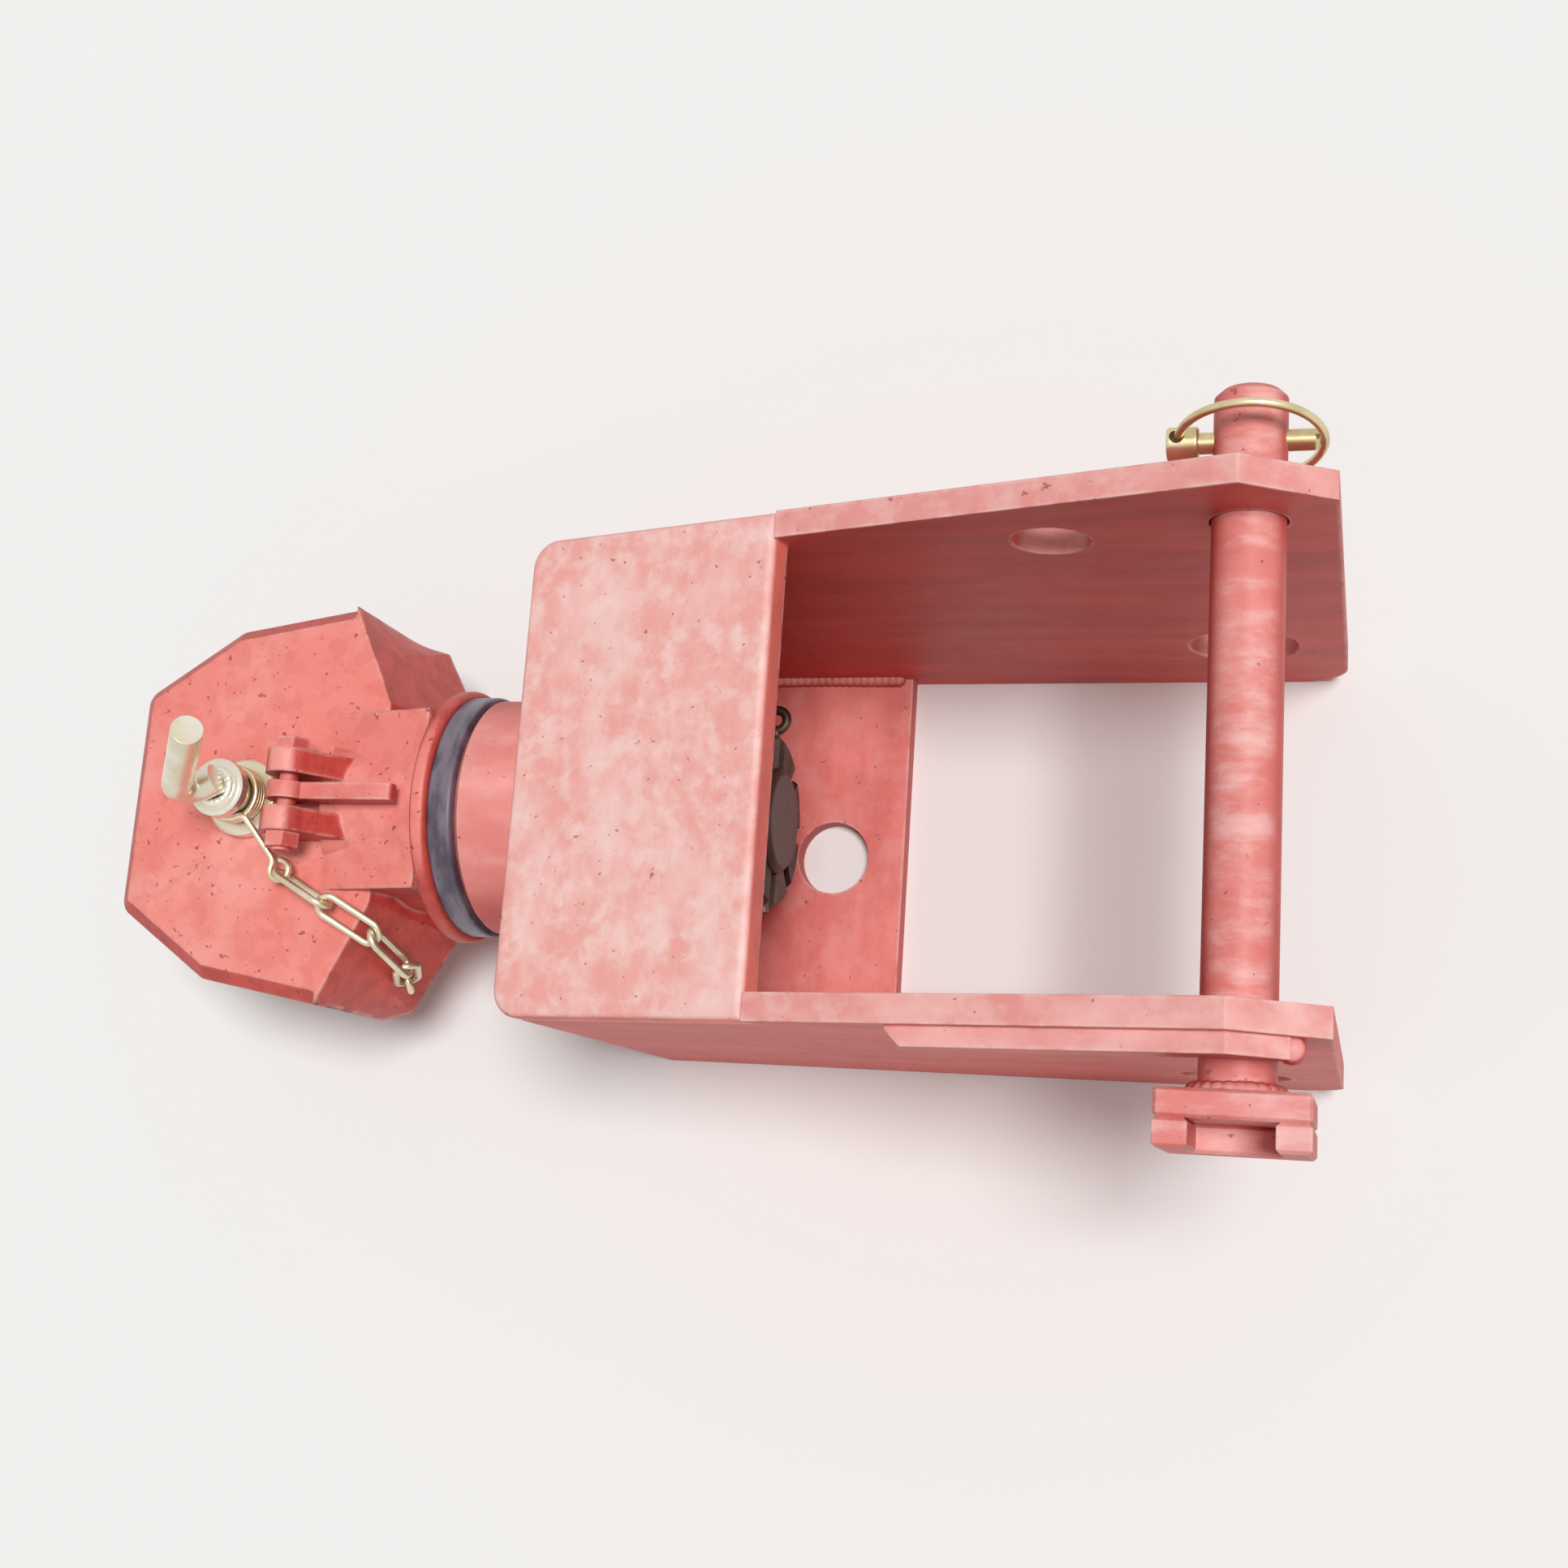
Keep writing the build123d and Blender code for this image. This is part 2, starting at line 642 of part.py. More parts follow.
def link_place(begin, end, roll):
    """Frame of a link: X along its pitch, turned by its roll."""
    along = (end - begin).normalized()
    sideways = Vector(0, 0, 1).cross(along).normalized()
    middle = Plane((begin + end) / 2, x_dir=along, z_dir=along.cross(sideways))
    return middle.location * Rot(roll, 0, 0)


def chain():
    """The safety chain: each link lies along its pitch and is turned from the one before."""
    points = chain_points()
    link = chain_link()
    places = zip(points, points[1:], chain_rolls)
    return Compound(children=[link_place(begin, end, roll) * link for begin, end, roll in places])


def chain_staple():
    """Forged eye that holds the chain's last link on the heel of the jaw."""
    before, last = chain_points()[-2:]
    overlap = chain_wire + chain_clearance
    reach = chain_pitch / 2 + coil_eye_radius - overlap / 2
    ring = Pos(reach, 0, 0) * Rot(90, 0, 0) * Torus(coil_eye_radius, chain_wire / 2)
    return only(link_place(before, last, chain_rolls[-1]) * ring)


def cross_pin():
    """Long cross pin with a bevelled end and the linchpin's hole."""
    head_end = head_plate_y - head_plate_thickness
    body = rod_y(cross_pin_diameter / 2, head_end, cross_pin_end_y, cross_pin_x, cross_pin_z)
    end = body.edges().filter_by(GeomType.CIRCLE).sort_by(Axis.Y)[-1]
    body = chamfer(end, 2 * edge_break)
    reach = cross_pin_diameter
    hole = rod_x(linchpin_diameter / 2, cross_pin_x - reach, cross_pin_x + reach, linchpin_y, cross_pin_z)
    return only(body - hole)


def head_plate():
    """Square plate welded round the cross pin's head end."""
    plate = Box(head_plate_size, head_plate_thickness, head_plate_size)
    plate = chamfer(plate.edges(), edge_break)
    plate = Pos(cross_pin_x, head_plate_y - head_plate_thickness / 2, cross_pin_z) * plate
    bore = rod_y(cross_pin_diameter / 2, 2 * head_plate_y, 0, cross_pin_x, cross_pin_z)
    return only(plate - bore)


def grip_plate():
    """Outer plate of the head, with a deep notch that leaves two horns to turn the pin by."""
    plate = Box(head_plate_size, head_plate_thickness, head_plate_size)
    plate -= Pos(0, 0, head_plate_size / 2 - head_notch_depth / 2) * Box(
        head_notch_width, 2 * head_plate_thickness, head_notch_depth)
    plate = chamfer(plate.edges().filter_by(Axis.Y, reverse=True), edge_break)
    return only(Pos(cross_pin_x, head_plate_y - 1.5 * head_plate_thickness, cross_pin_z) * plate)


def linchpin_place():
    """Frame of the linchpin: its shaft along X, tilted about that shaft."""
    return Pos(cross_pin_x, linchpin_y, cross_pin_z) * Rot(-linchpin_tilt, 0, 0)


def linchpin():
    """Linchpin: a plain shaft with a cross-drilled barrel head."""
    shaft = rod_x(linchpin_diameter / 2, -linchpin_reach, linchpin_reach)
    shaft = chamfer(shaft.edges().filter_by(GeomType.CIRCLE).sort_by(Axis.X)[-1], edge_break)
    head_rear = -linchpin_reach + linchpin_head_length / 2
    head = rod_x(linchpin_head_diameter / 2, head_rear - linchpin_head_length, head_rear)
    head = fillet(head.edges().filter_by(GeomType.CIRCLE), edge_break)
    body = shaft + head
    mean = linchpin_ring_radius
    bow = mean - sqrt(mean ** 2 - (linchpin_head_diameter / 2) ** 2)
    eye = linchpin_ring_wire / 2 + bow + face_clearance
    return only(linchpin_place() * (body - rod_z(eye, -linchpin_reach, linchpin_reach, -mean)))


def linchpin_ring():
    """Spring ring through the linchpin's head, closed over the end of its shaft."""
    ring = Rot(90, 0, 0) * Torus(linchpin_ring_radius, linchpin_ring_wire / 2)
    return only(linchpin_place() * ring)


nodes = {
    "left_arm": arm(arm_inner_y, arm_outer_y),
    "right_arm": arm(-arm_outer_y, -arm_inner_y),
    "top_plate": top_plate(),
    "front_plate": front_plate(),
    "bottom_plate": bottom_plate(),
    "side_bar": side_bar(),
    "swivel_boss": swivel_boss(),
    "front_bush": bush(boss_front_x),
    "rear_bush": bush(spigot_rear_x - bush_length),
    "thrust_ring": thrust_ring(),
    "nut_washer": nut_washer(),
    "swivel_nut": swivel_nut(),
    "split_pin": split_pin(),
    "jaw": jaw(),
    "lever_bolt": lever_bolt(),
    "lever_nut": lever_nut(),
    "keeper_lever": keeper_lever(),
    "hitch_pin": hitch_pin(),
    "pin_handle": pin_handle(),
    "chain_coil": chain_coil(),
    "chain": chain(),
    "chain_staple": chain_staple(),
    "cross_pin": cross_pin(),
    "head_plate": head_plate(),
    "grip_plate": grip_plate(),
    "linchpin": linchpin(),
    "linchpin_ring": linchpin_ring(),
}

os.makedirs("parts", exist_ok=True)
for name, solid in nodes.items():
    export_step(solid, f"parts/{name}.step")
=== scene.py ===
from math import radians

import bpy
import numpy as np
from mathutils import Matrix, Vector


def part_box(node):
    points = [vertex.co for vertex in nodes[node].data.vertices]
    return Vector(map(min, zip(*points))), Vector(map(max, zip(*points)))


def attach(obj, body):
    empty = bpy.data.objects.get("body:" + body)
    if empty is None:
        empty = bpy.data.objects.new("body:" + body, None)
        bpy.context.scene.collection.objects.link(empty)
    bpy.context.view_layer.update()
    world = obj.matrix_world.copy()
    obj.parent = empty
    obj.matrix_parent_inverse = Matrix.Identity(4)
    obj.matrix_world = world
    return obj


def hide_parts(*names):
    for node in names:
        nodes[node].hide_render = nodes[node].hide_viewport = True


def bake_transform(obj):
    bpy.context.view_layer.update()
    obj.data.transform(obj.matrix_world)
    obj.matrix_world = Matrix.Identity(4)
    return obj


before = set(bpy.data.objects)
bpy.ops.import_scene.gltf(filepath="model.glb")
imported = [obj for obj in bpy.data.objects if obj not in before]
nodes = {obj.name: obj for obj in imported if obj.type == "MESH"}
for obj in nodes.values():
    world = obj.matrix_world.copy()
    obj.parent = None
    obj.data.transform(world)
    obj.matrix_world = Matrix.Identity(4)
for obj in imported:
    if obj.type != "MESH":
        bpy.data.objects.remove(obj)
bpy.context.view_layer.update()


# Side arms: two plates of flame-cut steel, welded upright at the sides of the frame.
# They are brush-painted with red-oxide primer, painted paler where it faces up and darker on its walls, as
# painted light from above and painted shade.
def srgb(red, green, blue):
    """Linear colour of an sRGB colour from 0 to 255: the power curve above the short straight start."""
    value = np.array([red, green, blue]) / 255
    linear = np.where(value <= 0.04045, value / 12.92, ((value + 0.055) / 1.055) ** 2.4)
    return (*linear, 1.0)


class Finish:
    """A procedural material under construction, with its shader and its object coordinates."""

    def __init__(self, name, metallic, roughness):
        self.material = bpy.data.materials.new(name)
        self.material.use_nodes = True
        self.tree = self.material.node_tree
        self.shader = self.tree.nodes["Principled BSDF"]
        self.shader.inputs["Metallic"].default_value = metallic
        self.shader.inputs["Roughness"].default_value = roughness
        self.place = self.tree.nodes.new("ShaderNodeTexCoord")

    def add(self, kind, **inputs):
        """New node of a kind, with values or other nodes' sockets put into its inputs."""
        node = self.tree.nodes.new("ShaderNode" + kind)
        for key, value in inputs.items():
            self.put(node.inputs[key], value)
        return node

    def put(self, socket, value):
        """Links a socket to another node's socket, or sets its value."""
        if isinstance(value, bpy.types.NodeSocket):
            self.tree.links.new(value, socket)
        else:
            socket.default_value = value

    def noise(self, scale, detail=4.0, stretch=(1, 1, 1), roughness=0.55):
        """Noise over the object's own coordinates, stretched by its axes."""
        mapping = self.add("Mapping", Vector=self.place.outputs["Object"], Scale=stretch)
        texture = self.add("TexNoise", Vector=mapping.outputs[0], Scale=scale, Detail=detail,
                           Roughness=roughness)
        return texture.outputs["Fac"]

    def step(self, value, low, high):
        """Smooth step of a value from low to high, as 0 to 1."""
        node = self.add("MapRange", Value=value)
        node.interpolation_type = "SMOOTHSTEP"
        node.inputs["From Min"].default_value = low
        node.inputs["From Max"].default_value = high
        return node.outputs["Result"]

    def spread(self, value, start, end):
        """A value from 0 to 1, spread between a start and an end."""
        node = self.add("MapRange", Value=value)
        node.inputs["To Min"].default_value = start
        node.inputs["To Max"].default_value = end
        return node.outputs["Result"]

    def mix(self, share, first, second):
        """Colour between two colours by a share."""
        node = self.tree.nodes.new("ShaderNodeMix")
        node.data_type = "RGBA"
        self.put(node.inputs["Factor"], share)
        self.put(node.inputs[6], first)
        self.put(node.inputs[7], second)
        return node.outputs[2]

    def times(self, first, second):
        """Product of two values."""
        node = self.tree.nodes.new("ShaderNodeMath")
        node.operation = "MULTIPLY"
        self.put(node.inputs[0], first)
        self.put(node.inputs[1], second)
        return node.outputs[0]

    def upward(self, low, high):
        """How far a face looks up, from its normal in the object's own frame."""
        split = self.add("SeparateXYZ", Vector=self.place.outputs["Normal"])
        return self.step(split.outputs["Z"], low, high)

    def edges(self, radius, low, high):
        """How near a sharp edge is: there a bevelled normal leans away from the face's own normal."""
        soft = self.add("Bevel", Radius=radius)
        soft.samples = 6
        own = self.add("NewGeometry")
        lean = self.tree.nodes.new("ShaderNodeVectorMath")
        lean.operation = "DOT_PRODUCT"
        self.put(lean.inputs[0], soft.outputs[0])
        self.put(lean.inputs[1], own.outputs["Normal"])
        return self.step(lean.outputs["Value"], high, low)

    def relief(self, height, strength, distance, edge):
        """Bump over softened edges: a bevelled normal, then the height."""
        soft = self.add("Bevel", Radius=edge)
        soft.samples = 4
        bump = self.add("Bump", Height=height, Strength=strength, Distance=distance,
                        Normal=soft.outputs[0])
        self.put(self.shader.inputs["Normal"], bump.outputs[0])


def blend_colours(share, first, second):
    """Fixed colour part of the way from one colour to another."""
    return tuple((1 - share) * np.array(first) + share * np.array(second))


def oxide_paint(name, up, side, streaks, edge=0.0012, blotch=60, scuff=0.2, drag=(1, 1, 1)):
    """Brushed primer with brush streaks, pale scuffs, rubbed edges and specks of dirt. It is painted paler
    where it faces up and darker on its walls, as painted light from above and painted shade. Scuffs are
    blotches of one size, drawn out by their drag, and scuff is how pale they go."""
    paint = Finish(name, metallic=0.0, roughness=0.5)
    brush = paint.noise(26, detail=5, stretch=streaks, roughness=0.6)
    patch = paint.noise(blotch, detail=6, stretch=drag, roughness=0.66)
    grit = paint.noise(420, detail=2)
    # Faces that look up take the top colour and walls the darker wall colour: painted light from above and
    # painted shade.
    lit_from_above = paint.upward(0.35, 0.9)
    pale = blend_colours(0.6, up, srgb(255, 226, 220))
    deep = blend_colours(0.35, side, srgb(140, 44, 40))
    worn = blend_colours(0.45, up, side)
    top = paint.mix(paint.step(brush, 0.42, 0.68), worn, up)
    top = paint.mix(paint.times(paint.step(patch, 0.40, 0.70), scuff), top, pale)
    wall = paint.mix(paint.step(brush, 0.36, 0.66), deep, side)
    colour = paint.mix(lit_from_above, wall, top)
    rubbed = paint.times(paint.edges(radius=0.003, low=0.88, high=0.995), paint.step(patch, 0.36, 0.58))
    colour = paint.mix(paint.times(rubbed, 0.6), colour, pale)
    dirt = srgb(126, 56, 50)
    speck = paint.step(paint.noise(210, detail=2), 0.70, 0.74)
    colour = paint.mix(paint.times(speck, 0.65), colour, dirt)
    paint.put(paint.shader.inputs["Base Color"], colour)
    paint.put(paint.shader.inputs["Roughness"], paint.spread(patch, 0.42, 0.62))
    height = paint.mix(0.35, brush, grit)
    paint.relief(height, strength=0.35, distance=0.0007, edge=edge)
    return paint.material


def wear(node, material):
    """Gives a CAD node its finish."""
    nodes[node].data.materials.clear()
    nodes[node].data.materials.append(material)


arm_paint = oxide_paint("arm_paint", up=srgb(247, 184, 178), side=srgb(212, 83, 74),
                        streaks=(0.25, 1, 1.6), scuff=0.4)
wear("left_arm", arm_paint)
wear("right_arm", arm_paint)


# Top plate: a thick plate let into the tops of both arms, with its corners rounded.
# Its paint is the palest of the frame, as painted light from above, and the brush went across it.
top_paint = oxide_paint("top_plate_paint", up=srgb(249, 199, 192), side=srgb(234, 118, 104),
                        streaks=(1.2, 0.6, 1), edge=0.002, blotch=80, scuff=0.75)
wear("top_plate", top_paint)


# Front and bottom plates: they close the frame round the swivel's spigot and its drawbar hole.
# They lie in the shade of the top plate, and their paint is darker and redder as painted shade.
shade_paint = oxide_paint("shaded_paint", up=srgb(242, 140, 131), side=srgb(196, 76, 69),
                          streaks=(1, 0.35, 1.2))
wear("front_plate", shade_paint)
wear("bottom_plate", shade_paint)


# Welds of the frame: beads run by hand along the plates' seams, and painted over.
# Each is a half-sunk cord of metal with ripples across it where the pool froze.
def tube(path, radius, side, closed=False, around=14):
    """Round profile carried along a path. At each point the profile's circle lies in the plane of two
    directions square to the path: one from the cross product of the path's tangent and a fixed side
    direction, and one square to both. Strips of faces across its first and last circles close an open
    tube. Returns the points and the four-sided faces."""
    path = np.asarray(path, float)
    count = len(path)
    radius = np.broadcast_to(np.asarray(radius, float), (count,))
    if closed:
        tangent = np.roll(path, -1, 0) - np.roll(path, 1, 0)
    else:
        tangent = np.gradient(path, axis=0)
    tangent /= np.linalg.norm(tangent, axis=1, keepdims=True)
    first = np.cross(tangent, np.broadcast_to(np.asarray(side, float), path.shape))
    first /= np.linalg.norm(first, axis=1, keepdims=True)
    second = np.cross(tangent, first)
    turn = np.linspace(0, 2 * np.pi, around, endpoint=False)
    ring = first[:, None] * np.cos(turn)[None, :, None] + second[:, None] * np.sin(turn)[None, :, None]
    points = (path[:, None] + ring * radius[:, None, None]).reshape(-1, 3)
    rows = np.arange(count if closed else count - 1)[:, None]
    steps = np.arange(around)[None, :]
    here = rows * around + steps
    along = (rows + 1) % count * around + steps
    beside = rows * around + (steps + 1) % around
    across = (rows + 1) % count * around + (steps + 1) % around
    faces = np.stack([here, beside, across, along], -1).reshape(-1, 4)
    if closed:
        return points, faces
    strip = np.arange(around // 2 - 1)
    cap = np.stack([strip, strip + 1, around - 2 - strip, around - 1 - strip], -1)
    return points, np.concatenate([faces, cap[:, ::-1], cap + (count - 1) * around])


def piece(name, parts, material, body):
    """One object from surfaces of points and faces, joined by shifting each one's faces past the last."""
    sizes = np.array([len(points) for points, _ in parts])
    starts = np.concatenate([[0], np.cumsum(sizes)[:-1]])
    points = np.concatenate([points for points, _ in parts])
    faces = np.concatenate([faces + start for (_, faces), start in zip(parts, starts)])
    mesh = bpy.data.meshes.new(name)
    mesh.from_pydata(points.tolist(), [], faces.tolist())
    mesh.polygons.foreach_set("use_smooth", np.ones(len(faces), bool))
    mesh.materials.append(material)
    obj = bpy.data.objects.new(name, mesh)
    bpy.context.scene.collection.objects.link(obj)
    if body:
        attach(obj, body)
    return obj


ripple_depth = 0.10
point_radius = 1e-5
points_in_ripple = 9
frame_ripple = 0.0042


def ripples(distance, length, radius, ripple):
    """Radius along a bead: scalloped by the ripple, uneven by a slow wave, falling to a point at its ends
    as the square root of one less the square of how far from full it is."""
    wave_depth = 0.06
    wave_length = 0.013
    scallop = 1 + ripple_depth * np.abs(np.sin(np.pi * distance / ripple))
    scallop = scallop + wave_depth * np.sin(distance / wave_length)
    end = np.clip(np.minimum(distance, length - distance) / radius, 0, 1)
    return radius * scallop * np.sqrt(1 - (1 - end) ** 2) + point_radius


def bead(start, end, radius, side):
    """Straight weld bead: a tube whose radius swells once in each ripple and runs out at both ends."""
    start, end = np.asarray(start, float), np.asarray(end, float)
    length = np.linalg.norm(end - start)
    fewest = 24
    share = np.linspace(0, 1, max(fewest, int(length / frame_ripple * points_in_ripple)))
    path = start + (end - start) * share[:, None]
    return tube(path, ripples(share * length, length, radius, frame_ripple), side)


def round_bead(centre, ring_radius, axis, radius, ripple=frame_ripple):
    """Closed weld bead round a bar: a rippled tube along a circle square to the bar's axis, which also
    swells three times a turn."""
    swell_depth = 0.05
    count = int(2 * np.pi * ring_radius / ripple * points_in_ripple)
    turn = np.linspace(0, 2 * np.pi, count, endpoint=False)
    spokes = np.roll(np.stack([np.zeros(count), np.cos(turn), np.sin(turn)], 1), axis, 1)
    waves = max(1, round(2 * np.pi * ring_radius / ripple))
    swell = 1 + ripple_depth * np.abs(np.sin(turn * waves / 2)) + swell_depth * np.sin(3 * turn)
    return tube(np.asarray(centre) + ring_radius * spokes, radius * swell, np.eye(3)[axis], closed=True)


weld_paint = oxide_paint("weld_paint", up=srgb(242, 164, 156), side=srgb(206, 84, 76),
                         streaks=(1, 1, 1), edge=0.0004)
floor_low, floor_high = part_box("bottom_plate")
front_low, front_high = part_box("front_plate")
arm_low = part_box("left_arm")[0]
weld_inset = 0.004
seam_top = 0.2
floor_bead = 0.0042
seam_bead = 0.0034
corner_bead = 0.0040
upright = (0, 0, 1)
lengthways = (1, 0, 0)
frame_welds = []
for hand in (-1, 1):
    inner = hand * arm_low.y
    floor_start = (floor_low.x, inner, floor_high.z)
    floor_end = (floor_high.x - weld_inset, inner, floor_high.z)
    frame_welds.append(bead(floor_start, floor_end, floor_bead, upright))
    seam_start = (front_low.x, inner, weld_inset)
    seam_end = (front_low.x, inner, seam_top)
    frame_welds.append(bead(seam_start, seam_end, seam_bead, lengthways))
    corner_start = (front_high.x, inner, floor_high.z)
    corner_end = (front_high.x, inner, seam_top)
    frame_welds.append(bead(corner_start, corner_end, corner_bead, lengthways))
sill_start = (floor_low.x, weld_inset - floor_high.y, floor_high.z)
sill_end = (floor_low.x, floor_high.y - weld_inset, floor_high.z)
frame_welds.append(bead(sill_start, sill_end, floor_bead, upright))
piece("frame_welds", frame_welds, weld_paint, "frame")


# Side bar: a flat bar welded under the top edge of the right arm, mitred at its front end.
# A thick upright bead closes its rear end.
wear("side_bar", arm_paint)
bar_bead = 0.0055
bar_bead_drop = 0.017
bar_bead_height = 0.017
bar_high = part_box("side_bar")[1]
bead_top = np.array([bar_high.x, bar_high.y - weld_inset, bar_high.z - bar_bead_drop])
bead_foot = bead_top - np.array([0, 0, bar_bead_height])
bar_weld = bead(bead_foot, bead_top, bar_bead, lengthways)
piece("side_bar_weld", [bar_weld], weld_paint, "frame")


# Swivel boss: a thick turned tube through the front plate, welded all round, with plain bushes inside.
# It is painted with the frame, and the brush went along it.
boss_paint = oxide_paint("boss_paint", up=srgb(245, 164, 156), side=srgb(208, 88, 80),
                         streaks=(0.3, 1, 1))
wear("swivel_boss", boss_paint)
boss_low, boss_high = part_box("swivel_boss")
swivel_z = (boss_low.z + boss_high.z) / 2
boss_bead = 0.0045
bead_standoff = 0.001
boss_ring = (boss_high.z - boss_low.z) / 2 + bead_standoff
boss_weld = round_bead((front_low.x, 0, swivel_z), boss_ring, axis=0, radius=boss_bead)
piece("boss_weld", [boss_weld], weld_paint, "frame")


# Bushes: plain sleeves of bronze, turned and reamed, pressed into both ends of the boss.
# The boss and the jaw's shank hide them from every side.
def turned_metal(name, colour, dark, metallic, roughness, grain):
    """Metal with fine turning marks, cloudy patches and dark grime in the low spots."""
    metal = Finish(name, metallic, roughness)
    cloud = metal.noise(38)
    marks = metal.noise(260, detail=3, stretch=grain)
    tone = metal.mix(metal.step(cloud, 0.36, 0.66), dark, colour)
    spots = metal.step(metal.noise(120, detail=3), 0.62, 0.75)
    metal.put(metal.shader.inputs["Base Color"], metal.mix(metal.times(spots, 0.5), tone, dark))
    metal.put(metal.shader.inputs["Roughness"], metal.spread(cloud, roughness + 0.12, roughness - 0.08))
    metal.relief(metal.mix(0.4, marks, cloud), strength=0.18, distance=0.0004, edge=0.0005)
    return metal.material


bronze = turned_metal("bush_bronze", colour=srgb(196, 160, 96), dark=srgb(120, 92, 52),
                      metallic=0.9, roughness=0.4, grain=(6, 1, 1))
wear("front_bush", bronze)
wear("rear_bush", bronze)


# Jaw: one steel casting with a rough skin, painted red, that turns in the boss on its shank.
# Sand grain shows through the paint, and its edges are paler, partly rubbed by use and partly a painted
# highlight.
shank_bare_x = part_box("thrust_ring")[1].x


def cast_paint(name, up, side):
    """Paint over a sand-cast skin: two sizes of grain, painted shade in hollows, painted light on top,
    edges paler by rubbing and a painted highlight, dark pits. Behind the thrust ring the shank is bare and
    greasy."""
    bare_start = 0.002
    rubbed_and_highlight_tone = srgb(248, 184, 172)
    pit_tone = srgb(120, 44, 38)
    grease = srgb(74, 54, 47)
    paint = Finish(name, metallic=0.0, roughness=0.45)
    grain = paint.noise(170, detail=5, roughness=0.65)
    lumps = paint.noise(85)
    cloud = paint.noise(14, detail=3)
    deep = blend_colours(0.4, side, srgb(130, 40, 34))
    light = blend_colours(0.3, up, srgb(252, 196, 186))
    top = paint.mix(paint.step(cloud, 0.45, 0.68), up, light)
    wall = paint.mix(paint.step(lumps, 0.38, 0.62), deep, side)
    # Faces that look up take the top colour, walls and bevels the darker wall colour: painted light from
    # above and painted shade.
    colour = paint.mix(paint.upward(0.72, 0.96), wall, top)
    # Hollows of the lumps are pulled towards the wall colour: painted shade.
    colour = paint.mix(paint.times(paint.step(lumps, 0.55, 0.40), 0.2), colour, side)
    # Edges go paler: partly rubbed paint, partly a painted highlight.
    rubbed = paint.times(paint.edges(radius=0.004, low=0.86, high=0.99), paint.step(lumps, 0.34, 0.56))
    colour = paint.mix(paint.times(rubbed, 0.6), colour, rubbed_and_highlight_tone)
    pits = paint.step(paint.noise(230, detail=2), 0.66, 0.72)
    colour = paint.mix(paint.times(pits, 0.7), colour, pit_tone)
    ends = paint.add("SeparateXYZ", Vector=paint.place.outputs["Object"])
    greasy = paint.step(ends.outputs["X"], shank_bare_x - bare_start, shank_bare_x)
    colour = paint.mix(greasy, colour, grease)
    paint.put(paint.shader.inputs["Base Color"], colour)
    paint.relief(paint.mix(0.45, lumps, grain), strength=0.55, distance=0.0012, edge=0.003)
    return paint.material


jaw_paint = cast_paint("jaw_paint", up=srgb(240, 136, 125), side=srgb(204, 76, 66))
wear("jaw", jaw_paint)


# Thrust ring: a ring of grey plastic between the jaw's flange and the boss.
# It is moulded, and polished by the turning of the jaw.
ring_finish = Finish("thrust_ring_plastic", metallic=0.0, roughness=0.36)
ring_cloud = ring_finish.step(ring_finish.noise(45, stretch=(3, 1, 1)), 0.35, 0.65)
ring_colour = ring_finish.mix(ring_cloud, srgb(76, 68, 80), srgb(122, 112, 126))
ring_finish.put(ring_finish.shader.inputs["Base Color"], ring_colour)
ring_finish.relief(ring_finish.noise(300, detail=2), strength=0.1, distance=0.0003, edge=0.0012)
wear("thrust_ring", ring_finish.material)


# Swivel nut, washer and split pin: they hold the shank behind the boss, and the split pin locks the nut.
# All are bare steel, turned or bent from wire, dark with old grease and a little rust.
nut_steel = turned_metal("nut_steel", colour=srgb(104, 84, 74), dark=srgb(52, 38, 34),
                         metallic=0.7, roughness=0.5, grain=(6, 1, 1))
wear("nut_washer", nut_steel)
wear("swivel_nut", nut_steel)
split_pin_steel = turned_metal("split_pin_steel", colour=srgb(120, 100, 86), dark=srgb(66, 50, 42),
                               metallic=0.8, roughness=0.45, grain=(1, 6, 1))
wear("split_pin", split_pin_steel)


# Keeper lever, its bolt and nut: a flat forged lever that turns on a bolt between the jaw's two lugs.
# They were painted over together with the jaw, so the bolt's flats are soft.
lever_paint = oxide_paint("lever_paint", up=srgb(238, 138, 128), side=srgb(202, 80, 71),
                          streaks=(1, 0.5, 1))
wear("keeper_lever", lever_paint)
wear("lever_bolt", lever_paint)
wear("lever_nut", lever_paint)


# Hitch pin and handle: a turned steel pin with a bent round bar welded to its head.
# They were zinc plated together, and the plating has a faint yellow tint.
def plated(name, bright, dull, grain):
    """Passivated zinc: bright metal with cloudy yellow patches, fine scratches and grey wear."""
    grey_wear = srgb(138, 120, 92)
    metal = Finish(name, metallic=0.85, roughness=0.3)
    cloud = metal.noise(28, detail=3)
    scratch = metal.noise(340, detail=3, stretch=grain)
    tone = metal.mix(metal.step(cloud, 0.36, 0.64), dull, bright)
    grime = metal.step(metal.noise(130), 0.60, 0.78)
    tone = metal.mix(metal.times(grime, 0.22), tone, grey_wear)
    metal.put(metal.shader.inputs["Base Color"], tone)
    metal.put(metal.shader.inputs["Roughness"], metal.spread(cloud, 0.4, 0.24))
    metal.relief(metal.mix(0.5, scratch, cloud), strength=0.15, distance=0.0003, edge=0.0006)
    return metal.material


pin_zinc = plated("pin_zinc", bright=srgb(240, 236, 224), dull=srgb(224, 214, 188), grain=(1, 1, 5))
wear("hitch_pin", pin_zinc)
wear("pin_handle", pin_zinc)
pin_low, pin_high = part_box("hitch_pin")
pin_x = (pin_low.x + pin_high.x) / 2
handle_bead = 0.0024
handle_ring = 0.0085
handle_ripple = 0.003
handle_weld = round_bead((pin_x, 0, pin_high.z), handle_ring, axis=2,
                         radius=handle_bead, ripple=handle_ripple)
piece("handle_weld", [handle_weld], pin_zinc, "hitch_pin")


